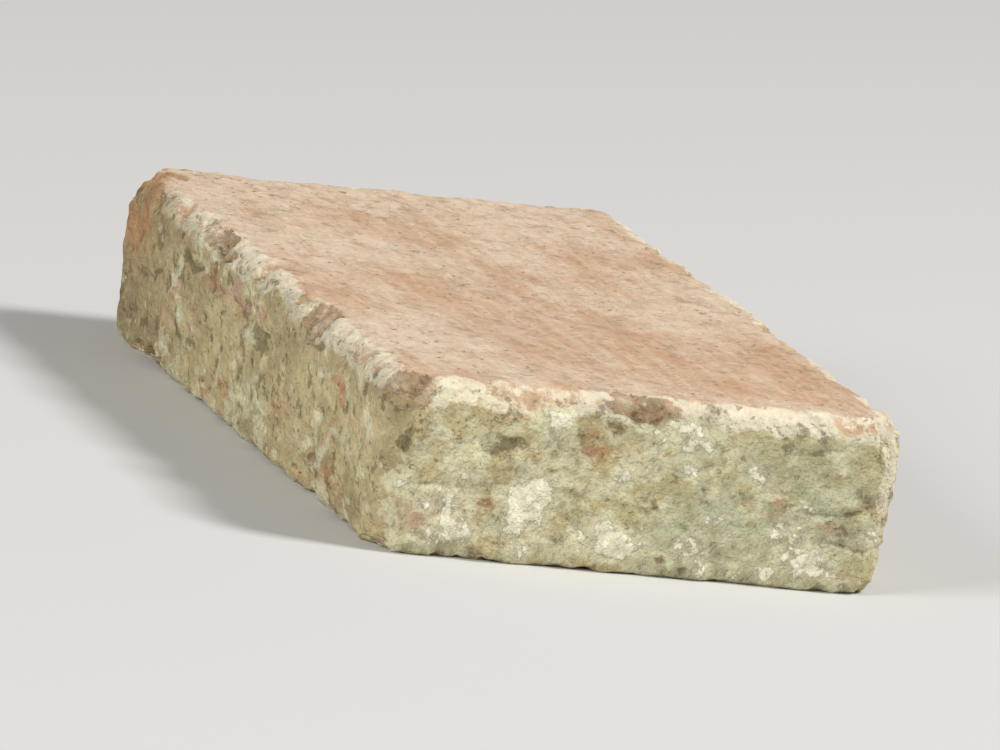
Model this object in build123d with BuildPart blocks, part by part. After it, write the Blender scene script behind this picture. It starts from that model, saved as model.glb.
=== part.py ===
from build123d import *
from math import atan2, degrees
import os

# A reclaimed floor tile of hand-moulded terracotta, lying on its bed with the walking face up.
# The origin is the middle of the bed, +Y runs along the tile, +Z is up, and lengths are millimetres.

# The tile's nominal size, over the mould
LENGTH = 240
WIDTH = 120
THICKNESS = 40

# The mould's sides lean out by this much from the bed up, so that the walking faces meet when laid
MOULD_DRAFT = 1

# Arrises rounded by feet and handling, and how much rounder the four upright ones are
WALKED_ARRIS = 6
BED_ARRIS = 3
UPRIGHT_WEAR = 2
UPRIGHT_ARRIS = WALKED_ARRIS + UPRIGHT_WEAR

# The foot-worn hollow of the walking face, and the flat band left between it and the arrises
HOLLOW_DEPTH = 1.2
FLAT_BAND = 5

# The scoops that blows leave: small chips, long shallow bruises and broken corners.
# Each bite is measured square to the arris, from its rounded edge to the bottom of the scoop.
CHIP_SCOOP = 18
CHIP_BITE = 2.6
BRUISE_SCOOP = 60
BRUISE_BITE = 1.3
CORNER_SCOOP = 34
CORNER_BITE = 4.4

# Where the chips and bruises sit, from the middle of their arris towards the right or the back
FRONT_CHIP_PLACE = -2
FRONT_BED_CHIP_PLACE = -38
LEFT_CHIP_PLACE = -47
LEFT_BRUISE_PLACE = 38
LEFT_BED_CHIP_PLACE = 84
RIGHT_CHIP_PLACE = 69
RIGHT_BRUISE_PLACE = -25
BACK_BRUISE_PLACE = 14
BACK_BED_CHIP_PLACE = 31

# The six ways that the faces look, which add up to the way that an arris or a corner looks
LEFT = Vector(-1, 0, 0)
RIGHT = Vector(1, 0, 0)
FRONT = Vector(0, -1, 0)
BACK = Vector(0, 1, 0)
DOWN = Vector(0, 0, -1)
UP = Vector(0, 0, 1)

CHIPS = [
    (FRONT + UP, FRONT_CHIP_PLACE),
    (FRONT + DOWN, FRONT_BED_CHIP_PLACE),
    (LEFT + UP, LEFT_CHIP_PLACE),
    (LEFT + DOWN, LEFT_BED_CHIP_PLACE),
    (RIGHT + UP, RIGHT_CHIP_PLACE),
    (BACK + DOWN, BACK_BED_CHIP_PLACE),
]
BRUISES = [
    (LEFT + UP, LEFT_BRUISE_PLACE),
    (RIGHT + UP, RIGHT_BRUISE_PLACE),
    (BACK + UP, BACK_BRUISE_PLACE),
]
BROKEN_CORNERS = [LEFT + FRONT + UP, RIGHT + FRONT + UP, LEFT + BACK + UP, RIGHT + BACK + DOWN]


def scoop_centre(outward, place, scoop, bite):
    """Centre of the round scoop of a blow on the arris or corner that faces `outward`."""
    sharp_x = outward.X * WIDTH / 2
    sharp_y = outward.Y * LENGTH / 2
    sharp_z = (1 + outward.Z) * THICKNESS / 2
    along = Vector(1 - abs(outward.X), 1 - abs(outward.Y), 1 - abs(outward.Z))
    rounding = WALKED_ARRIS if outward.Z > 0 else BED_ARRIS
    worn_back = rounding * (outward.length - 1)
    reach = scoop - bite - worn_back
    return Vector(sharp_x, sharp_y, sharp_z) + along * place + outward.normalized() * reach


def arc_radius(half_chord, rise):
    """Radius of the arc that rises by `rise` over a chord of twice `half_chord`."""
    return (half_chord**2 + rise**2) / (2 * rise)


with BuildPart() as floor_tile:
    # The moulded slab, cast in a frame that opens towards the walking face
    with BuildSketch():
        RectangleRounded(WIDTH - 2 * MOULD_DRAFT, LENGTH - 2 * MOULD_DRAFT, UPRIGHT_ARRIS)
    extrude(amount=THICKNESS, taper=-degrees(atan2(MOULD_DRAFT, THICKNESS)))

    # The walked arrises all round the top, and the sharper ones round the bed
    walking_face = floor_tile.faces().sort_by(Axis.Z)[-1]
    fillet(walking_face.edges(), radius=WALKED_ARRIS)
    bed = floor_tile.faces().sort_by(Axis.Z)[0]
    fillet(bed.edges(), radius=BED_ARRIS)

    # The hollow: a shallow lengthwise arc, turned about an axis high above the tile
    hollow_half_length = LENGTH / 2 - WALKED_ARRIS - FLAT_BAND
    hollow_half_width = WIDTH / 2 - WALKED_ARRIS - FLAT_BAND
    turning_height = THICKNESS - HOLLOW_DEPTH + arc_radius(hollow_half_width, HOLLOW_DEPTH)
    with BuildSketch(Plane.YZ):
        with BuildLine():
            worn_line = ThreePointArc(
                (-hollow_half_length, THICKNESS),
                (0, THICKNESS - HOLLOW_DEPTH),
                (hollow_half_length, THICKNESS),
            )
            Polyline(
                worn_line @ 1,
                (hollow_half_length, turning_height),
                (-hollow_half_length, turning_height),
                worn_line @ 0,
            )
        make_face()
    revolve(axis=Axis((0, 0, turning_height), (0, 1, 0)), mode=Mode.SUBTRACT)

    # The scoops of old blows, along the arrises and at the corners
    for arris, place in CHIPS:
        with Locations(scoop_centre(arris, place, CHIP_SCOOP, CHIP_BITE)):
            Sphere(CHIP_SCOOP, mode=Mode.SUBTRACT)
    for arris, place in BRUISES:
        with Locations(scoop_centre(arris, place, BRUISE_SCOOP, BRUISE_BITE)):
            Sphere(BRUISE_SCOOP, mode=Mode.SUBTRACT)
    for corner in BROKEN_CORNERS:
        with Locations(scoop_centre(corner, 0, CORNER_SCOOP, CORNER_BITE)):
            Sphere(CORNER_SCOOP, mode=Mode.SUBTRACT)

floor_tile.part.label = "floor_tile"

os.makedirs("parts", exist_ok=True)
export_step(floor_tile.part, "parts/floor_tile.step")
print("floor_tile volume", round(floor_tile.part.volume), "cubic millimetres")
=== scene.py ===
# %% [markdown]
# # A reclaimed terracotta floor tile
# The tile is one piece of clay, thrown into a wooden mould by hand, fired, walked on for generations
# and lifted again. Its solid is already drawn, with the draft of the mould, the round arrises, the
# foot-worn hollow and the large old breaks. This lesson dresses it: one closed skin with the folds,
# pits, chips and lime crust of the real thing, and one material that follows them.

# %% Load the frame
import itertools
import math

import bpy
import numpy as np
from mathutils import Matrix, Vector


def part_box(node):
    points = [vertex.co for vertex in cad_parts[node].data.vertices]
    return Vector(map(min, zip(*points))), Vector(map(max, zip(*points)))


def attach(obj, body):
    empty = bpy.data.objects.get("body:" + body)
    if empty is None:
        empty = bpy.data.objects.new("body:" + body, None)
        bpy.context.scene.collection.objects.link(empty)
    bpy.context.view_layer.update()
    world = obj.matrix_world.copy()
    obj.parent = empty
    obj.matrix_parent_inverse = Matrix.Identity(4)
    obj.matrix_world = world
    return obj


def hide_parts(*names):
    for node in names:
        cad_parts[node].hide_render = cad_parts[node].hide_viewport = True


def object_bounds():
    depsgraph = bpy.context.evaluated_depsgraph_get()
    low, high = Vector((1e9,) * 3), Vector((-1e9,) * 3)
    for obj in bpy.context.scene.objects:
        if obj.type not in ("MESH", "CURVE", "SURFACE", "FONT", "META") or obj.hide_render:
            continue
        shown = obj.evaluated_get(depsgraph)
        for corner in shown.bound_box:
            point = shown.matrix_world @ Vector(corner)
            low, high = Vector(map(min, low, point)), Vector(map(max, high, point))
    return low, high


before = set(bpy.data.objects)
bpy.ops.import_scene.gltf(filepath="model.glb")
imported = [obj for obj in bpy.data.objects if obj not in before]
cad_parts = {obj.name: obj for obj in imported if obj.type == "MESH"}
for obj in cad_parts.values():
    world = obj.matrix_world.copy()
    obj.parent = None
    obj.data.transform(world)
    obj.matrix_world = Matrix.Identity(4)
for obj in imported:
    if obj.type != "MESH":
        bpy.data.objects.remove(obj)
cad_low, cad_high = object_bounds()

print("the solid's box in metres:", [round(v, 4) for v in (*cad_low, *cad_high)])

# %% [markdown]
# ## Sizes
# All sums about the shape are in millimetres, as on a maker's drawing, and become metres when the
# mesh is made. The overall sizes come from the frame. The solid is widest where its walked arris
# begins, a little below the top, so the nominal size adds back what the draft takes off down there.
# The arrises and the scoops repeat the solid's own values, because the skin has to lie on it.

# %% The tile's sizes
MM = 0.001
MOULD_DRAFT = 1
WALKED_ARRIS = 6
BED_ARRIS = 3
UPRIGHT_ARRIS = 8
HOLLOW_DEPTH = 1.2
FLAT_BAND = 5

low, high = (np.array(corner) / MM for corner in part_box("floor_tile"))
THICKNESS = high[2] - low[2]
under_the_arris = 2 * MOULD_DRAFT * WALKED_ARRIS / THICKNESS
WIDTH = high[0] - low[0] + under_the_arris
LENGTH = high[1] - low[1] + under_the_arris
HALF = np.array([WIDTH / 2, LENGTH / 2, THICKNESS / 2])
print("nominal width, length and thickness:", WIDTH.round(1), LENGTH.round(1), THICKNESS.round(1))

# %% [markdown]
# ## Camera
# The photograph was taken from a few metres away, a little to the left of the tile's own axis and
# above it, with the tile's end towards the viewer. A long lens from the same side and distance gives
# the same flat perspective. With the small roll the end dips to the right and the long edges run up
# to the left as steeply as they do there.

# %% Set up the camera
VIEW_AZIMUTH = math.radians(-17)
VIEW_ELEVATION = math.radians(10)
VIEW_ROLL = math.radians(8.5)
VIEW_DISTANCE = 4.2
FRAME_WIDTH = 0.225
SENSOR_WIDTH = 36

aim = (cad_low + cad_high) / 2
out = np.array([
    math.sin(VIEW_AZIMUTH) * math.cos(VIEW_ELEVATION),
    -math.cos(VIEW_AZIMUTH) * math.cos(VIEW_ELEVATION),
    math.sin(VIEW_ELEVATION),
])
camera_data = bpy.data.cameras.new("camera")
camera_data.sensor_width = SENSOR_WIDTH
camera_data.lens = SENSOR_WIDTH * VIEW_DISTANCE / FRAME_WIDTH
camera = bpy.data.objects.new("camera", camera_data)
camera.location = aim + type(aim)(out * VIEW_DISTANCE)
camera.rotation_euler = (math.pi / 2 - VIEW_ELEVATION, 0, VIEW_AZIMUTH)
camera.rotation_euler.rotate_axis("Z", VIEW_ROLL)
bpy.context.scene.collection.objects.link(camera)
bpy.context.scene.camera = camera
print("lens in millimetres:", round(camera_data.lens))

# %% [markdown]
# ## Random hills that never change
# Fired clay is uneven at every scale, so most of the skin is noise. Blender's own noise textures
# can't be read by whole arrays, so this is gradient noise written out in numpy. Its random numbers
# come from mixing the whole-numbered cell a point lies in, so a rerun gives the same tile.

# %% Numbers from cells
CELL_FACTORS = [np.uint32(factor) for factor in (73856093, 19349663, 83492791)]
SEED_FACTOR = 2654435761
FOLD_FACTORS = [np.uint32(factor) for factor in (1274126177, 2246822519)]
TEN_BITS = np.uint32(2**10 - 1)


def cell_numbers(cells, seed):
    """Three random numbers from 0 to 1 for each cell (i, j, k). Each coordinate and the seed is
    multiplied by a large odd number, the bits are folded over, and ten bits go to each number."""
    whole = cells.astype(np.int64).astype(np.uint32)
    i, j, k = (whole[..., axis] * CELL_FACTORS[axis] for axis in range(3))
    mixed = i ^ j ^ k ^ np.uint32(seed * SEED_FACTOR % 2**32)
    mixed = (mixed ^ mixed >> np.uint32(13)) * FOLD_FACTORS[0]
    mixed = (mixed ^ mixed >> np.uint32(16)) * FOLD_FACTORS[1]
    mixed ^= mixed >> np.uint32(15)
    tens = [mixed >> np.uint32(shift) & TEN_BITS for shift in (0, 10, 20)]
    return np.stack(tens, axis=-1) / TEN_BITS


# %% Hills from numbers
TURN = np.array([(2, -1, 2), (2, 2, -1), (-1, 2, 2)]) / 3
HILL_HEIGHT = 1.7


def noise(points, size, seed):
    """Smooth random hills from about -1 to 1, `size` mm apart (one number, or one for each axis).
    Each corner of a cell has a random slope. A point mixes the heights that the slopes of its
    eight corners foresee, with weights that ease from 0 to 1 as 6t^5 - 15t^4 + 10t^3. The cells are
    turned askew to the tile, because their grid would show on a face that lies along it."""
    places = points / np.asarray(size, float) @ TURN
    cells = np.floor(places)
    inside = places - cells
    ease = inside**3 * (inside * (inside * 6 - 15) + 10)
    total = np.zeros(len(points))
    for corner in itertools.product((0, 1), repeat=3):
        slope = 2 * cell_numbers(cells + corner, seed) - 1
        weight = np.prod(np.where(corner, ease, 1 - ease), axis=-1)
        total += weight * np.sum(slope * (inside - corner), axis=-1)
    return HILL_HEIGHT * total


def rough_noise(points, size, seed, layers=4):
    """Noise on noise: each further layer is half as wide and half as high as the one before."""
    size = np.asarray(size, float)
    return sum(noise(points, size / 2**n, seed + n) / 2**n for n in range(layers))


def rise(value, start, end):
    """0 below `start`, 1 above `end`, and an S-curve between them."""
    share = np.clip((value - start) / (end - start), 0, 1)
    return share * share * (3 - 2 * share)


# %% [markdown]
# ## The grid on the skin
# A tile could be one profile carried round its outline, but then the grid bunches up in the middle
# of both large faces. Here the skin is six grids, one for each side of a box, that share their
# border points. Each grid is a surface of two parameters, its lines lie closer near the arrises,
# where the shape bends and chips, and no point is a pole.

# %% Six grids round a box
EDGE_ZONE = 13
LINES_AT_EDGE = 17
LINES_ACROSS = 84
LINES_ALONG = 190
LINES_UP = 56


def graded_line(half, middle_cells):
    """Places from -half to half: LINES_AT_EDGE even steps in each edge zone and `middle_cells`
    even steps between the zones."""
    inner = half - EDGE_ZONE
    edge = np.linspace(-half, -inner, LINES_AT_EDGE, endpoint=False)
    middle = np.linspace(-inner, inner, middle_cells, endpoint=False)
    other_edge = np.linspace(inner, half, LINES_AT_EDGE + 1)
    return np.concatenate([edge, middle, other_edge])


def box_skin(lines):
    """The points and quads on the skin of a box lattice with these lines along X, Y and Z. Each side
    is a grid of two parameters, and a point that two or three sides share is kept once."""
    counts = np.array([len(line) for line in lines])
    numbers, quads, made = [], [], 0
    for axis, end in itertools.product(range(3), (0, 1)):
        first, second = (axis + 1) % 3, (axis + 2) % 3
        grid = np.zeros((counts[first], counts[second], 3), int)
        grid[..., axis] = end * (counts[axis] - 1)
        grid[..., first] = np.arange(counts[first])[:, None]
        grid[..., second] = np.arange(counts[second])[None, :]
        number = made + np.arange(grid[..., 0].size).reshape(grid.shape[:2])
        ring = [number[:-1, :-1], number[1:, :-1], number[1:, 1:], number[:-1, 1:]]
        quads.append(np.stack(ring if end else ring[::-1], axis=-1).reshape(-1, 4))
        numbers.append(grid.reshape(-1, 3))
        made += number.size
    numbers = np.concatenate(numbers)
    kept, which = np.unique(numbers, axis=0, return_inverse=True)
    points = np.stack([line[kept[:, axis]] for axis, line in enumerate(lines)], axis=-1)
    return points, which.reshape(-1)[np.concatenate(quads)]


sharp, quads = box_skin([
    graded_line(HALF[0], LINES_ACROSS),
    graded_line(HALF[1], LINES_ALONG),
    np.linspace(-HALF[2], HALF[2], LINES_UP + 1),
])
sharp[:, 2] += HALF[2]
print("points on the skin:", len(sharp), "triangles:", 2 * len(quads))

# %% [markdown]
# ## From box to tile
# The tile's body is written as a field: the distance to its surface, negative inside. Rays start in
# an inner core and fan out over the arrises to the box's grid points, and where the field is zero
# along a ray lies the skin. So one formula holds the draft, the round arrises, the upright corners
# and the hollow, and the skin can't fold over itself, whatever is later taken off along the rays.

# %% The tile's field
def slab_field(points, walked_arris, bed_arris):
    """Distance to the drafted slab, negative inside. In plan it is the distance to a rectangle with
    round corners that grows by the draft with height. Upwards it is the height over the hollowed
    walking face, or the depth under the bed. Plan and height join in a round of the arris's radius:
    the length of both distances past the round's centre, less the radius."""
    x, y, z = points.T
    grown = MOULD_DRAFT * (1 - z / THICKNESS)
    past_x = np.abs(x) - (HALF[0] - grown - UPRIGHT_ARRIS)
    past_y = np.abs(y) - (HALF[1] - grown - UPRIGHT_ARRIS)
    beyond = np.hypot(np.maximum(past_x, 0), np.maximum(past_y, 0))
    plan = beyond + np.minimum(np.maximum(past_x, past_y), 0) - UPRIGHT_ARRIS
    across = x / (HALF[0] - WALKED_ARRIS - FLAT_BAND)
    along = y / (HALF[1] - WALKED_ARRIS - FLAT_BAND)
    hollow = HOLLOW_DEPTH * np.maximum(0, 1 - across**2 - along**2)
    sides = []
    for height, arris in ((z - THICKNESS + hollow, walked_arris), (-z, bed_arris)):
        out, up = plan + arris, height + arris
        round_part = np.hypot(np.maximum(out, 0), np.maximum(up, 0))
        sides.append(round_part + np.minimum(np.maximum(out, up), 0) - arris)
    return np.maximum(*sides)


CORE_DEPTH = 14
core_low = np.array([-HALF[0] + CORE_DEPTH, -HALF[1] + CORE_DEPTH, CORE_DEPTH])
core_high = np.array([HALF[0] - CORE_DEPTH, HALF[1] - CORE_DEPTH, THICKNESS - CORE_DEPTH])
start = np.clip(sharp, core_low, core_high)
box_reach = np.linalg.norm(sharp - start, axis=1)
way = (sharp - start) / box_reach[:, None]

# The walked arrises wear unevenly, so their radius wanders along the tile
ARRIS_WANDER = 1.6
walked_arris = WALKED_ARRIS + ARRIS_WANDER * rough_noise(sharp, 45, seed=11, layers=3)
bed_arris = BED_ARRIS + 0.5 * ARRIS_WANDER * rough_noise(sharp, 30, seed=21, layers=3)

# Each ray's stretch that holds the zero is halved until it is far shorter than a grain
HALVINGS = 24
near, far = np.zeros(len(sharp)), box_reach.copy()
for halving in range(HALVINGS):
    middle = (near + far) / 2
    inside = slab_field(start + way * middle[:, None], walked_arris, bed_arris) < 0
    near, far = np.where(inside, middle, near), np.where(inside, far, middle)
reach = near
slab = start + way * reach[:, None]
print("slab spans", slab.min(axis=0).round(2), "to", slab.max(axis=0).round(2))

# %% [markdown]
# ## Old breaks
# A blow leaves a shallow scoop in fired clay. In the solid each is a ball taken out of an arris or a
# corner, and a ray meets a ball where a square root says so, which needs no boolean operation. The
# large scoops repeat the solid's, and a crowd of small ones, drawn at random along all the arrises,
# nibbles the edges. A little noise in each ball's radius makes the break rough instead of polished.

# %% Scoops from balls
CHIP_SCOOP, CHIP_BITE = 18, 2.6
BRUISE_SCOOP, BRUISE_BITE = 60, 1.3
CORNER_SCOOP, CORNER_BITE = 34, 4.4
CHIPS = [
    ((0, -1, 1), -2),
    ((0, -1, -1), -38),
    ((-1, 0, 1), -47),
    ((-1, 0, -1), 84),
    ((1, 0, 1), 69),
    ((0, 1, -1), 31),
]
BRUISES = [((-1, 0, 1), 38), ((1, 0, 1), -25), ((0, 1, 1), 14)]
BROKEN_CORNERS = [(-1, -1, 1), (1, -1, 1), (-1, 1, 1), (1, 1, -1)]
BREAK_ROUGHNESS = 2.0
FAR_OUTSIDE = -10.0


def scoop_centre(outward, place, scoop, bite):
    """Centre of a ball at the arris or corner that faces `outward`, `place` mm along from the
    arris's middle: the sharp arris, plus the ball's radius less its bite outwards on the diagonal."""
    outward = np.array(outward, float)
    sharp_point = outward * HALF + (0, 0, HALF[2])
    rounding = WALKED_ARRIS if outward[2] > 0 else BED_ARRIS
    length = np.linalg.norm(outward)
    worn_back = rounding * (length - 1)
    return sharp_point + (1 - np.abs(outward)) * place + outward / length * (scoop - bite - worn_back)


def take_ball(reach, centre, radius):
    """Shortens the rays that end inside a ball to where they enter it. Along a ray the entry is at
    b - sqrt(b^2 - c): b is how far along the ray the centre lies, and c is the squared distance
    from the ray's start to the centre, less the radius squared."""
    b = np.sum((centre - start) * way, axis=1)
    c = np.sum((start - centre) ** 2, axis=1) - radius**2
    under_root = b * b - c
    root = np.sqrt(np.maximum(under_root, 0))
    hit = (under_root > 0) & (b - root < reach) & (b + root > reach)
    return np.where(hit, b - root, reach)


def within_ball(centre, radius):
    """How far each point of the slab lies inside a ball: its radius less the distance from its
    centre. It passes smoothly through 0 at the rim of the break, so a mask made from it doesn't
    follow the steps of the grid."""
    return radius - np.linalg.norm(slab - centre, axis=1)


break_radius = BREAK_ROUGHNESS * rough_noise(slab, 8, seed=31, layers=4)
scoops = [(arris, place, CHIP_SCOOP, CHIP_BITE) for arris, place in CHIPS]
scoops += [(arris, place, BRUISE_SCOOP, BRUISE_BITE) for arris, place in BRUISES]
scoops += [(corner, 0, CORNER_SCOOP, CORNER_BITE) for corner in BROKEN_CORNERS]
whole = reach
within = np.full(len(slab), FAR_OUTSIDE)
for scoop in scoops:
    centre, radius = scoop_centre(*scoop), scoop[2] + break_radius
    reach = take_ball(reach, centre, radius)
    within = np.maximum(within, within_ball(centre, radius))
old_break = rise(within, -0.1, 0.5)
print("deepest old break:", (whole - reach).max().round(2), "mm")

# %% A crowd of small chips, most of them tiny
SMALL_CHIPS = 130
SMALLEST_SCOOP, SCOOP_RANGE = 5, 22
SMALLEST_BITE, BITE_RANGE = 0.2, 1.3
MOSTLY_TINY = 2.5
random = np.random.default_rng(12)
ARRISES = [way_out for way_out in itertools.product((-1, 0, 1), repeat=3) if np.abs(way_out).sum() == 2]
arris_lengths = [np.sum((1 - np.abs(arris)) * 2 * HALF) for arris in ARRISES]
within = np.full(len(slab), FAR_OUTSIDE)
for arris_number in random.choice(len(ARRISES), SMALL_CHIPS, p=arris_lengths / np.sum(arris_lengths)):
    place = random.uniform(-0.5, 0.5) * arris_lengths[arris_number]
    size = random.uniform(0, 1) ** MOSTLY_TINY
    radius = SMALLEST_SCOOP + SCOOP_RANGE * size * random.uniform(0.5, 1)
    bite = SMALLEST_BITE + BITE_RANGE * size
    centre = scoop_centre(ARRISES[arris_number], place, radius, bite)
    reach = take_ball(reach, centre, radius + break_radius)
    within = np.maximum(within, within_ball(centre, radius + break_radius))
small_chip = rise(within, -0.1, 0.4)
print("share of the skin in small chips:", small_chip.mean().round(3))

# %% [markdown]
# ## The moulded skin
# The sides keep what the mould left: soft folds where the clay didn't quite run together, sand
# marks and pits. The walking face is worn smooth, with a few open pits, and the bed is flat, sandy
# and pitted. Each is noise of its own size and depth, taken off along the rays, and a mask from the
# ray's direction says which face gets how much.

# %% Pits
def dents(points, spacing, share, radius, seed):
    """Round dents, at most one to a cell of `spacing` mm: 1 in a dent's middle, and 0 at its rim,
    as 1 - (distance / radius)^2. Each dent has a random place in its cell and half to all of
    `radius`, and `share` of the cells have one."""
    cells = np.floor(points / spacing)
    deepest = np.zeros(len(points))
    for step in itertools.product((-1, 0, 1), repeat=3):
        centre = (cells + step + cell_numbers(cells + step, seed)) * spacing
        luck = cell_numbers(cells + step, seed + 50)
        own_radius = radius * (0.5 + 0.5 * luck[:, 0])
        apart = np.linalg.norm(points - centre, axis=1)
        dent = np.clip(1 - (apart / own_radius) ** 2, 0, 1) * (luck[:, 1] < share)
        deepest = np.maximum(deepest, dent)
    return deepest


# %% Which face a point is on
walked = rise(way[:, 2], 0.55, 0.85)
under = rise(-way[:, 2], 0.55, 0.85)
sides = 1 - walked - under
gaps = np.sort(np.stack([HALF[0] - np.abs(slab[:, 0]), HALF[1] - np.abs(slab[:, 1]),
                         np.minimum(THICKNESS - slab[:, 2], slab[:, 2])]), axis=0)
to_arris = np.hypot(gaps[0], gaps[1])
arris = 1 - rise(to_arris, 2, 10)
top_arris = arris * rise(slab[:, 2], THICKNESS - 11, THICKNESS - 5)
print("share of the skin on the sides and at an arris:", sides.mean().round(2), arris.mean().round(2))

# %% Relief in layers
RUFFLE = 1.5
ruffled = slab + RUFFLE * np.stack([noise(slab, 6, seed=s) for s in (51, 52, 53)], axis=-1)
folds = 1 - np.abs(noise(slab, (80, 80, 12), seed=41) + 0.3 * noise(slab, (14, 14, 5), seed=42))
folds = rise(folds, 0.8, 1.0) * rise(rough_noise(slab, 35, seed=43), 0.0, 0.5)
swell = rough_noise(slab, 42, seed=44, layers=3)
sand = rough_noise(slab, 5, seed=45, layers=3)
side_pits = dents(ruffled, 9, 0.6, 2.8, seed=46)
walked_pits = dents(ruffled, 15, 0.35, 2.4, seed=47)
nibble = rise(rough_noise(slab, 15, seed=48, layers=4), -0.2, 0.9)

relief = sides * (0.4 * (swell + 0.6) + 0.8 * folds + 0.35 * sand + 0.9 * side_pits)
relief += walked * (0.3 * (swell + 0.6) + 0.12 * sand + 0.7 * walked_pits)
relief += under * (0.2 * (swell + 0.6) + 0.22 * sand + 0.8 * side_pits)
relief += arris * (1.2 * nibble + 0.3 * sand)
print("relief from", relief.min().round(2), "to", relief.max().round(2), "mm")

# %% [markdown]
# ## Lime crust
# What is left of the old mortar clings to the sides, most of all to the front end and low down. Here
# and there it is a thick cream bit, and elsewhere a thin broken wash. A wide noise says how much of a
# place it covers, and a fine one breaks it up. It is part of the same surface, only a fraction of a
# millimetre proud, so it is added along the rays, and its amount is kept as an attribute, from which
# the material takes the colour and a crisper border. A few soft spots are listed one by one: lime bits
# and a pale wash on the front end, and less crust at its right corner, where the arrises carry a
# painted highlight, and at the bare corner behind on the left.

# %% Where the crust clings
def spots(places):
    """Soft round spots, added up. Each place is (x, y, z, radius) and gives
    exp(-(distance / radius)^2)."""
    return sum(np.exp(-np.sum((slab - place[:3]) ** 2, axis=1) / place[3] ** 2) for place in places)


END = -HALF[1]
LIME_SPOTS = [(-25, END, 15, 4.5), (-6, END, 7, 5.5), (-20, END, 34, 3)]
LIME_SPOTS += [(-41, END, 5, 4), (40, END, 6, 4)]
PALE_WASH = [(14, END, 26, 13), (46, END, 27, 15)]
BARE_CORNER = [(-HALF[0], HALF[1], THICKNESS, 20), (-HALF[0], HALF[1] - 18, THICKNESS - 7, 14)]
# The front right corner, its upright arris and the right half of the front's top arris, where a pale
# highlight is painted on the arrises
HIGHLIT_ARRIS_SPOTS = [(HALF[0], END, THICKNESS, 18), (HALF[0], END, THICKNESS - 18, 10)]
HIGHLIT_ARRIS_SPOTS += [(x, END, THICKNESS, 11) for x in (24, 42)]
front = rise(-way[:, 1], 0.55, 0.9)
left = rise(-way[:, 0], 0.55, 0.9)
low_down = 1 - rise(slab[:, 2], 0.1 * THICKNESS, 0.7 * THICKNESS)
back_end = rise(slab[:, 1], 0.45 * HALF[1], 0.9 * HALF[1])
highlit_corner = np.clip(spots(HIGHLIT_ARRIS_SPOTS), 0, 1)
cover = 0.22 * rough_noise(slab, 34, seed=61, layers=3) + 0.12 * low_down
cover += 0.25 * front - 0.1 * left + 0.3 * under - 0.6 * walked - 0.15 * old_break
cover += (0.8 * spots(LIME_SPOTS) + 0.2 * spots(PALE_WASH)) * front
cover -= 0.25 * highlit_corner + 0.5 * spots(BARE_CORNER) + 0.25 * left * back_end

# %% How thick the crust is
CLEAN_LEVEL = 0.33
WASH_LEVEL = -0.1
CRUST_LEVEL = 0.35
CRUST_THICKNESS = 0.7
crust = cover - CLEAN_LEVEL + 0.55 * rough_noise(slab, 8, seed=62, layers=4)
crust_amount = rise(crust, 0.2, 0.5)
proud = CRUST_THICKNESS * crust_amount * (0.7 + 0.5 * noise(slab, 5, seed=66))
for face, mask in (("the sides", sides), ("the front end", front), ("the top", walked)):
    over_face = [np.average(crust > level, weights=mask).round(2) for level in (WASH_LEVEL, CRUST_LEVEL)]
    print("share of", face, "under a wash and under thick crust:", *over_face)

# %% [markdown]
# ## Green shades, stains, painted shade and bare clay
# A tile that lay in the open is coloured unevenly. The front end is greener towards the right, with a
# brown streak. Painted shade darkens its front left corner and the chip on its top arris, and a little
# below the chip. The left side is brown under its top arris and at its far end, and the clay is bare
# and orange at the back left corner and along the back. These are masks with no relief, made of the
# same soft spots, and the material lays its colours by them.

# %% Masks for the colours alone
GREEN_SHADES = [(36, END, 18, 24), (12, END, 8, 12)]
# Painted shade: darker down the front left corner, and in and just below the chip on the front's top
# arris
SHADED_CORNER = [(-HALF[0], END, height, 6) for height in (8, 20, 32)]
SHADED_CHIP = [(-9, END, THICKNESS - 2, 5), (-1, END, THICKNESS - 4, 7), (8, END, THICKNESS - 9, 5)]
BROWN_STREAK = [(-19, END, 28, 6), (-25, END, 18, 5)]
green = np.clip(spots(GREEN_SHADES), 0, 1)
back_rim = rise(way[:, 1], 0.45, 0.8) * rise(slab[:, 2], THICKNESS - 9, THICKNESS - 3)
flush = np.clip(spots(BARE_CORNER) + back_rim, 0, 1)
under_arris = rise(slab[:, 2], THICKNESS - 16, THICKNESS - 6)
# The stain mask holds the brown streak, the left side darker under its top arris and at its far end, and
# the painted shade
stains_and_shade = spots(SHADED_CORNER) + spots(SHADED_CHIP) * (0.5 + 0.5 * old_break)
stains_and_shade += 0.8 * spots(BROWN_STREAK) + left * (0.3 * under_arris + back_end * (1 - flush))
stains_and_shade = np.clip(stains_and_shade, 0, 1) * (1 - 0.5 * walked)
print("share of the skin with a stain:", (stains_and_shade > 0.5).mean().round(3))

# %% [markdown]
# ## The skin as a mesh
# Firing bends a tile a little, so the sides of the finished skin get a gentle warp. Then the skin
# settles by a tenth of a millimetre and is cut flat at the floor, so that it rests on much of its bed
# and not on its tallest grain. The masks go with the mesh as attributes, because the material has to
# find the same chips and crust.

# %% Put the skin together
WARP = 0.5
SETTLED = 0.1
final_reach = reach - relief + proud
skin = start + way * final_reach[:, None]
skin[:, 0] += WARP * noise(skin, (400, 110, 400), seed=71)
skin[:, 1] += WARP * noise(skin, (90, 400, 400), seed=72)
skin[:, 2] = np.maximum(skin[:, 2] - SETTLED, 0)
print("skin spans", skin.min(axis=0).round(2), "to", skin.max(axis=0).round(2))

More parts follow.
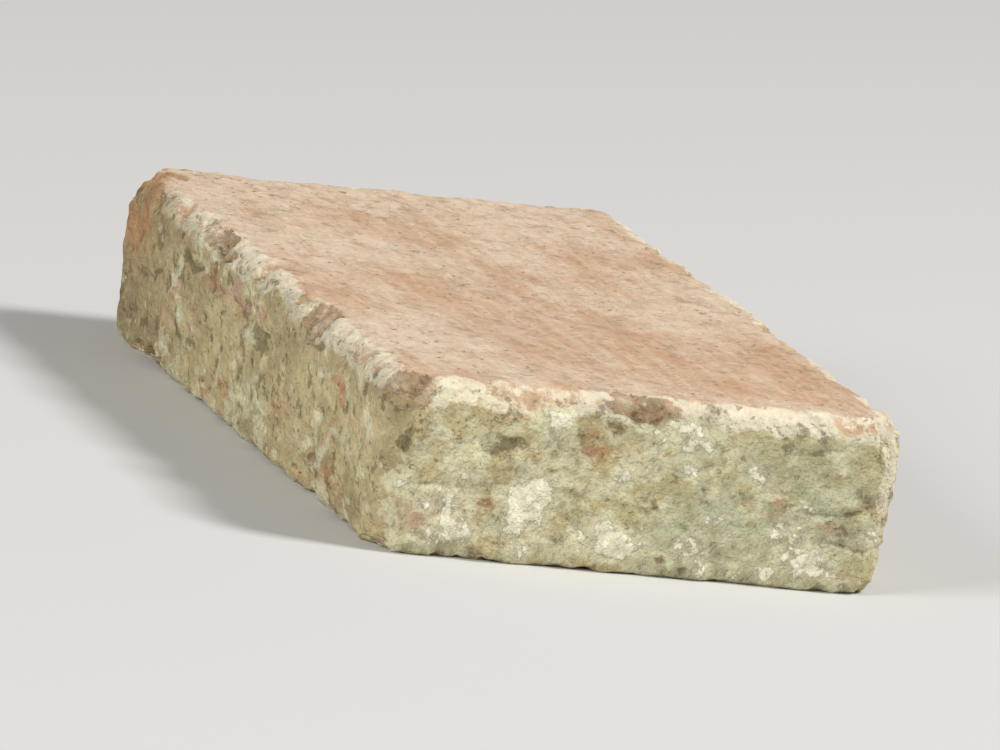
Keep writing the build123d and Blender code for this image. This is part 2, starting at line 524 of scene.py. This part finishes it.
# %% Make the mesh and its masks
mesh = bpy.data.meshes.new("fired_tile")
mesh.from_pydata(skin * MM, [], quads)
mesh.shade_smooth()
masks = {
    "crust": crust,
    "old_break": old_break * (1 - highlit_corner),
    "small_chip": small_chip,
    "pit": np.maximum(sides * side_pits, walked * walked_pits) + 0.8 * folds * sides,
    # The arris mask: wear along the top arrises, and a painted highlight on the arrises of the front
    # right corner
    "arris": np.maximum(top_arris, arris * highlit_corner) * (1 - flush) * (1 - 0.6 * left * back_end),
    "walked": walked - 0.5 * flush,
    "flush": flush,
    "green": green,
    "stain_and_shade": stains_and_shade,
}
for name, values in masks.items():
    mesh.attributes.new(name, "FLOAT", "POINT").data.foreach_set("value", values.astype(np.float32))
mesh.update()
tile = bpy.data.objects.new("fired_tile", mesh)
bpy.context.scene.collection.objects.link(tile)

# %% [markdown]
# ## Studio
# A plain pale floor, a soft light from above on the right, where the sun stood, a wider one from the
# left, and an even grey world that fills the shade. Their levels add up to a plain exposure: a pale
# surface that faces the light renders about as it is written.

# %% Floor
FLOOR_HALF = 6.0
floor_corners = [(x * FLOOR_HALF, y * FLOOR_HALF, 0) for x, y in ((-1, -1), (1, -1), (1, 1), (-1, 1))]
floor_mesh = bpy.data.meshes.new("floor")
floor_mesh.from_pydata(floor_corners, [], [(0, 1, 2, 3)])
floor = bpy.data.objects.new("floor", floor_mesh)
bpy.context.scene.collection.objects.link(floor)
floor_paint = bpy.data.materials.new("floor_paint")
floor_paint.use_nodes = True
floor_shader = floor_paint.node_tree.nodes["Principled BSDF"]
floor_shader.inputs["Base Color"].default_value = (0.72, 0.71, 0.69, 1)
floor_shader.inputs["Roughness"].default_value = 0.9
floor_mesh.materials.append(floor_paint)


# %% Lights and world
def soft_light(name, place, power, size):
    """A square area light at `place`, in metres, that faces the tile."""
    data = bpy.data.lights.new(name, "AREA")
    data.energy = power
    data.size = size
    lamp = bpy.data.objects.new(name, data)
    lamp.location = place
    towards = aim - lamp.location
    lamp.rotation_euler = towards.to_track_quat("-Z", "Y").to_euler()
    bpy.context.scene.collection.objects.link(lamp)


soft_light("key", (1.9, -0.8, 2.2), 68, 0.7)
soft_light("fill", (-2.4, -1.5, 1.3), 50, 1.2)
world = bpy.data.worlds.new("studio")
world.use_nodes = True
world.node_tree.nodes["Background"].inputs["Color"].default_value = (1, 1, 1, 1)
world.node_tree.nodes["Background"].inputs["Strength"].default_value = 0.27
bpy.context.scene.world = world
bpy.context.scene.view_settings.view_transform = "Standard"

# %% [markdown]
# ## Helpers for nodes
# A material is a tree of small nodes. A few helpers keep the cells below readable: they add a node
# and fill or link its sockets, mix two colours by a mask, do sums and open a node group. Colours are
# given on the screen's scale. Sizes are given in millimetres, and a noise texture wants how
# many of them fit in a metre.

# %% Node helpers
def colour(red, green, blue):
    """A colour on the screen's scale of 0 to 255, as the linear numbers a shader takes."""
    linear = [((v / 255 + 0.055) / 1.055) ** 2.4 for v in (red, green, blue)]
    return (*linear, 1)


def per_metre(size):
    """How many hills of `size` mm fit in a metre."""
    return 1 / (size * MM)


def add(tree, kind, sockets=(), **settings):
    """Adds a node. `sockets` pairs each input's name or number with a value or an output to link."""
    node = tree.nodes.new("ShaderNode" + kind)
    for name, value in settings.items():
        setattr(node, name, value)
    for key, value in dict(sockets).items():
        if isinstance(value, bpy.types.NodeSocket):
            tree.links.new(value, node.inputs[key])
        else:
            node.inputs[key].default_value = value
    return node


def mix(tree, share, first, second):
    """The first colour where `share` is 0 and the second where it is 1."""
    return add(tree, "Mix", {0: share, 6: first, 7: second}, data_type="RGBA").outputs[2]


def sum_of(tree, operation, first, second):
    """The result of a Math node, such as ADD or MULTIPLY."""
    return add(tree, "Math", {0: first, 1: second}, operation=operation).outputs[0]


def group(name, numbers, outputs):
    """A new node group with a Vector input, these number inputs and these outputs, and its two ends."""
    tree = bpy.data.node_groups.new(name, "ShaderNodeTree")
    tree.interface.new_socket("Vector", in_out="INPUT", socket_type="NodeSocketVector")
    for label, value in numbers.items():
        socket = tree.interface.new_socket(label, in_out="INPUT", socket_type="NodeSocketFloat")
        socket.default_value = value
    for label in outputs:
        tree.interface.new_socket(label, in_out="OUTPUT", socket_type="NodeSocketFloat")
    return tree, tree.nodes.new("NodeGroupInput").outputs, tree.nodes.new("NodeGroupOutput").inputs


# %% [markdown]
# ## Three groups: patches, grains and specks
# Weathering comes as patches with ragged borders. Fired clay is full of sand grains, each of its own
# tone and each a small bump, and it holds specks: pores, crushed brick and bits of lime. All of them
# are needed several times at other sizes, so each is a node group. Patches are noise cut at a level,
# with a softness for the border. Grains and specks are the cells of a Voronoi texture, pushed about
# by noise so that none is round. The noise stops at the detail that a picture can still show,
# because every further layer of it costs time and adds nothing.

# %% Group: patches
patches, ins, outs = group("patches", {"Scale": 40, "Level": 0.5, "Softness": 0.06}, ["Mask"])
sockets = {"Vector": ins["Vector"], "Scale": ins["Scale"], "Detail": 7, "Roughness": 0.68}
height = add(patches, "TexNoise", sockets).outputs["Fac"]
least = sum_of(patches, "SUBTRACT", ins["Level"], ins["Softness"])
most = sum_of(patches, "ADD", ins["Level"], ins["Softness"])
sockets = {"Value": height, "From Min": least, "From Max": most}
cut = add(patches, "MapRange", sockets, interpolation_type="SMOOTHSTEP")
patches.links.new(cut.outputs["Result"], outs["Mask"])


# %% Ragged cells
# Noise strays by about a quarter from its middle, so this pushes a border by a third of a cell
PUSH = 1.4


def ragged_cells(tree, vector, scale):
    """A Voronoi texture at this scale, on coordinates that noise has pushed about."""
    push = add(tree, "TexNoise", {"Vector": vector, "Scale": scale, "Detail": 1}).outputs["Color"]
    centred = add(tree, "VectorMath", {0: push, 1: (0.5, 0.5, 0.5)}, operation="SUBTRACT").outputs[0]
    step = sum_of(tree, "DIVIDE", PUSH, scale)
    scaled = add(tree, "VectorMath", {0: centred, "Scale": step}, operation="SCALE").outputs[0]
    pushed = add(tree, "VectorMath", {0: vector, 1: scaled}, operation="ADD").outputs[0]
    return add(tree, "TexVoronoi", {"Vector": pushed, "Scale": scale})


# %% Group: grains
grains, ins, outs = group("grains", {"Scale": 900}, ["Tone", "Height"])
cells = ragged_cells(grains, ins["Vector"], ins["Scale"])
tone = add(grains, "SeparateColor", {"Color": cells.outputs["Color"]}).outputs["Red"]
grains.links.new(tone, outs["Tone"])
grains.links.new(sum_of(grains, "SUBTRACT", 1.0, cells.outputs["Distance"]), outs["Height"])

# %% Group: specks
specks, ins, outs = group("specks", {"Scale": 300, "Share": 0.3, "Radius": 0.3}, ["Mask"])
cells = ragged_cells(specks, ins["Vector"], ins["Scale"])
luck = add(specks, "SeparateColor", {"Color": cells.outputs["Color"]})
chosen = sum_of(specks, "LESS_THAN", luck.outputs["Red"], ins["Share"])
growth = sum_of(specks, "ADD", luck.outputs["Green"], 0.35)
own_radius = sum_of(specks, "MULTIPLY", ins["Radius"], growth)
rim = sum_of(specks, "MULTIPLY", own_radius, 0.5)
sockets = {"Value": cells.outputs["Distance"], "From Min": own_radius, "From Max": rim}
speck = add(specks, "MapRange", sockets)
specks.links.new(sum_of(specks, "MULTIPLY", speck.outputs["Result"], chosen), outs["Mask"])

# %% [markdown]
# ## Weathered terracotta
# The clay itself is orange to pink. Outdoors its sides have turned olive and brown, the walking face
# is a pale worn pink with a chalky bloom, made paler still by painted light from above, breaks show the
# orange clay again, and dirt and painted shade sit in the pits and folds. Each is a layer over the one
# before, mixed in by a mask of its own.

# %% Start the material
clay = bpy.data.materials.new("weathered_terracotta")
clay.use_nodes = True
tree = clay.node_tree
shader = tree.nodes["Principled BSDF"]
place = add(tree, "TexCoord").outputs["Object"]


def mask_of(name):
    """The value of a mask that was stored on the mesh."""
    return add(tree, "Attribute", attribute_name=name).outputs["Fac"]


def askew(shift=(0, 0, 0), stretch=(1, 1, 1)):
    """The place on the tile, drawn out along an axis whose `stretch` is under 1, turned askew and
    moved by `shift` metres. The turn keeps the grid that noise is built on from showing on the
    tile's flat faces, and the shift makes two patterns differ."""
    settings = {"Vector": place, "Location": shift, "Rotation": (0.6, 0.4, 0.9), "Scale": stretch}
    return add(tree, "Mapping", settings).outputs["Vector"]


def use(effect, shift=(0, 0, 0), stretch=(1, 1, 1), output=0, **numbers):
    """An output of a group, with its own numbers, at a shifted and stretched place."""
    vector = askew(shift, stretch)
    return add(tree, "Group", {"Vector": vector, **numbers}, node_tree=effect).outputs[output]


def hills(shift, size, detail, roughness):
    """Noise with hills of `size` mm, from about -0.5 to 0.5, drawn out a little along the tile, the
    way that the mould was filled and struck off."""
    vector = askew(shift, (1, 0.6, 1))
    settings = {"Vector": vector, "Scale": per_metre(size), "Detail": detail, "Roughness": roughness}
    return less(add(tree, "TexNoise", settings).outputs["Fac"], 0.5)


# %% Sums of masks
def times(first, second):
    """A mask made fainter, or kept only where another mask is."""
    return sum_of(tree, "MULTIPLY", first, second)


def plus(first, second):
    """Two heights or masks added up."""
    return sum_of(tree, "ADD", first, second)


def less(first, second):
    """The first value with the second taken off."""
    return sum_of(tree, "SUBTRACT", first, second)


def between(value, least, most):
    """A mask that is 0 where a value is at `least`, and 1 where it is at `most`."""
    return add(tree, "MapRange", {"Value": value, "From Min": least, "From Max": most}).outputs["Result"]


def spread(mask, least, most):
    """A value that is `least` where a mask is 0, and `most` where it is 1."""
    return add(tree, "MapRange", {"Value": mask, "To Min": least, "To Max": most}).outputs["Result"]


# %% The fired clay
ORANGE_CLAY = colour(196, 152, 112)
PINK_CLAY = colour(208, 176, 146)
RED_CLAY = colour(182, 124, 90)
FLUSH = colour(184, 133, 93)
clay_colour = mix(tree, use(patches, Scale=per_metre(30), Softness=0.05), ORANGE_CLAY, PINK_CLAY)
cores = use(patches, (3, 1, 8), Scale=per_metre(22), Level=0.58, Softness=0.04)
clay_colour = mix(tree, times(cores, 0.3), clay_colour, RED_CLAY)
flushed = times(mask_of("flush"), use(patches, (3, 1, 2), Scale=per_metre(7), Level=0.42, Softness=0.07))
clay_colour = mix(tree, flushed, clay_colour, FLUSH)

# %% The weathered sides
OLIVE = colour(203, 192, 145)
BROWN = colour(160, 145, 106)
GREEN = colour(170, 175, 141)
olive_wash = use(patches, (6, 1, 4), (0.5, 0.4, 1), Scale=per_metre(12), Level=0.43, Softness=0.05)
covered = less(1.0, times(flushed, 0.85))
side_colour = mix(tree, times(times(olive_wash, 0.85), covered), clay_colour, OLIVE)
browned = use(patches, (5, 2, 7), (0.5, 0.4, 1), Scale=per_metre(14), Level=0.54, Softness=0.07)
side_colour = mix(tree, times(times(browned, 0.55), covered), side_colour, BROWN)
mossy = times(mask_of("green"), use(patches, (2, 9, 1), Scale=per_metre(6), Level=0.45, Softness=0.06))
side_colour = mix(tree, times(mossy, 0.7), side_colour, GREEN)

# %% The walking face
# The walking face is paler than the clay: wear and a chalky bloom, and partly painted light from above
WORN_AND_HIGHLIT_PINK = colour(221, 184, 153)
BLOOM = colour(236, 219, 193)
STAIN = colour(196, 158, 126)
walked_colour = mix(tree, 0.45, WORN_AND_HIGHLIT_PINK, clay_colour)
shade = use(patches, (9, 4, 3), (1, 0.5, 1), Scale=per_metre(60), Level=0.5, Softness=0.09)
walked_colour = mix(tree, times(shade, 0.45), walked_colour, STAIN)
bloom = use(patches, (1, 8, 3), (1, 0.5, 1), Scale=per_metre(36), Level=0.5, Softness=0.09)
walked_colour = mix(tree, times(bloom, 0.55), walked_colour, BLOOM)
blotches = use(patches, (7, 7, 1), (1, 0.5, 1), Scale=per_metre(7), Level=0.53, Softness=0.05)
walked_colour = mix(tree, times(blotches, 0.3), walked_colour, STAIN)
strike_lines = use(patches, (4, 2, 6), (1, 0.06, 1), Scale=per_metre(3), Level=0.53, Softness=0.05)
walked_colour = mix(tree, times(strike_lines, 0.25), walked_colour, BLOOM)

# The walked skin ends in a ragged line along the arris
ravel = times(hills((2, 2, 5), 6, 5, 0.65), 2.4)
on_top = between(plus(mask_of("walked"), ravel), 0.4, 0.6)
surface = mix(tree, on_top, side_colour, walked_colour)

# %% Worn arrises, painted highlights, stains and painted shade
WORN_EDGE_AND_HIGHLIGHT = colour(240, 230, 203)
GRIME_AND_SHADE = colour(140, 122, 90)
# Pale arrises: wear along the top arrises, and a painted highlight on the arrises of the front right
# corner
rubbed_and_highlit = between(plus(mask_of("arris"), ravel), 0.55, 0.75)
surface = mix(tree, times(rubbed_and_highlit, 0.75), surface, WORN_EDGE_AND_HIGHLIGHT)
# Darker by the stain mask: the stains, and painted shade at the front left corner and in the front chip
darkened = times(mask_of("stain_and_shade"), use(patches, (3, 3, 6), Scale=per_metre(5), Level=0.4, Softness=0.07))
surface = mix(tree, times(darkened, 0.8), surface, GRIME_AND_SHADE)

# %% Small chips and old breaks
BREAK = colour(198, 158, 121)
OLD_BREAK = colour(160, 136, 103)
fresh = use(patches, (4, 9, 2), Scale=per_metre(5), Level=0.48, Softness=0.04)
surface = mix(tree, times(times(mask_of("small_chip"), fresh), 0.75), surface, BREAK)
broken = between(plus(mask_of("old_break"), ravel), 0.4, 0.8)
aged = use(patches, (1, 4, 2), Scale=per_metre(5), Level=0.46, Softness=0.1)
bared = use(patches, (3, 7, 2), Scale=per_metre(8), Level=0.44, Softness=0.08)
break_colour = mix(tree, times(flushed, 0.8), mix(tree, aged, BREAK, OLD_BREAK), FLUSH)
# Breaks darken by the stain mask too, which holds the painted shade in the front chip
break_colour = mix(tree, times(mask_of("stain_and_shade"), 0.8), break_colour, GRIME_AND_SHADE)
surface = mix(tree, times(broken, spread(bared, 0.35, 0.8)), surface, break_colour)

# %% Dirt and painted shade in the pits and folds
DIRT_AND_SHADE = colour(104, 92, 66)
soiled = use(patches, (8, 1, 1), Scale=per_metre(5), Level=0.58, Softness=0.03)
soiled = times(soiled, less(0.6, times(on_top, 0.35)))
# Darker pits and folds: dirt, and painted shade in these hollows
pitted = between(plus(mask_of("pit"), ravel), 0.45, 0.7)
surface = mix(tree, sum_of(tree, "MAXIMUM", soiled, times(pitted, 0.65)), surface, DIRT_AND_SHADE)

# %% Pores and specks in the clay
pores = use(specks, Scale=per_metre(4), Share=spread(bloom, 0.04, 0.17), Radius=0.24)
fine_share = spread(blotches, 0.12, 0.35)
fine_pores = use(specks, (8, 3, 5), Scale=per_metre(1.5), Share=fine_share, Radius=0.3)
red_bits = use(specks, (4, 4, 4), Scale=per_metre(2.4), Share=0.2, Radius=0.32)
lime_bits = use(specks, (6, 6, 6), Scale=per_metre(3), Share=0.12, Radius=0.26)
surface = mix(tree, times(red_bits, 0.45), surface, RED_CLAY)
surface = mix(tree, times(lime_bits, 0.7), surface, BLOOM)
surface = mix(tree, times(sum_of(tree, "MAXIMUM", pores, fine_pores), 0.5), surface, DIRT_AND_SHADE)

# %% The lime crust
CREAM = colour(246, 240, 212)
WASH = colour(226, 222, 186)
frayed = plus(mask_of("crust"), times(hills((7, 3, 2), 3.5, 6, 0.7), 2.0))
washed = between(frayed, -0.25, 0.05)
crusted = between(frayed, 0.3, 0.4)
surface = mix(tree, times(washed, 0.7), surface, mix(tree, times(mossy, 0.4), WASH, GREEN))
surface = mix(tree, times(crusted, 0.9), surface, CREAM)

# %% Grit over everything
GRAIN_SIZE = 0.8
grain_tone = use(grains, Scale=per_metre(GRAIN_SIZE))
mottling = times(hills((1, 6, 4), 4, 4, 0.7), less(1.1, times(on_top, 0.4)))
tone = plus(times(grain_tone, 0.2), mottling)
sockets = {"Value": tone, "From Min": -0.25, "From Max": 0.45, "To Min": 0.72, "To Max": 1.25}
brightness = add(tree, "MapRange", sockets).outputs["Result"]
surface = add(tree, "HueSaturation", {"Color": surface, "Value": brightness}).outputs["Color"]
tree.links.new(surface, shader.inputs["Base Color"])

# %% [markdown]
# ## Relief too fine for the mesh
# The mesh carries what is wider than about two millimetres. Below that the height goes through one
# Bump node, summed in millimetres: sand grains, a rough tooth, the mould's drag lines, open pores
# and the border of the crust. Feet have polished the walking face, so there it is fainter.

# %% Bump
tooth = hills((5, 9, 3), 2.6, 3, 0.55)
drag = use(patches, (1, 1, 9), (0.12, 0.12, 1), Scale=per_metre(2.5), Softness=0.15)
grain_height = use(grains, output="Height", Scale=per_metre(GRAIN_SIZE))
height = plus(times(tooth, 2.0), times(drag, 0.12))
height = plus(height, times(grain_height, 0.2))
height = times(height, less(1.0, times(on_top, 0.6)))
crumbs = use(grains, (5, 5, 5), output="Height", Scale=per_metre(2))
height = plus(height, times(crumbs, times(broken, 0.6)))
height = less(height, times(pores, 0.5))
height = less(height, times(fine_pores, 0.25))
height = plus(height, times(crusted, 0.25))
bump = add(tree, "Bump", {"Height": height, "Strength": 1.0, "Distance": MM})
tree.links.new(bump.outputs["Normal"], shader.inputs["Normal"])

# %% Gloss
tree.links.new(spread(on_top, 0.95, 0.82), shader.inputs["Roughness"])
shader.inputs["Specular IOR Level"].default_value = 0.3
mesh.materials.append(clay)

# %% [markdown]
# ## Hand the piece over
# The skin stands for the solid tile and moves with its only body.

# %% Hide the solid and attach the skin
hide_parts("floor_tile")
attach(tile, "root")
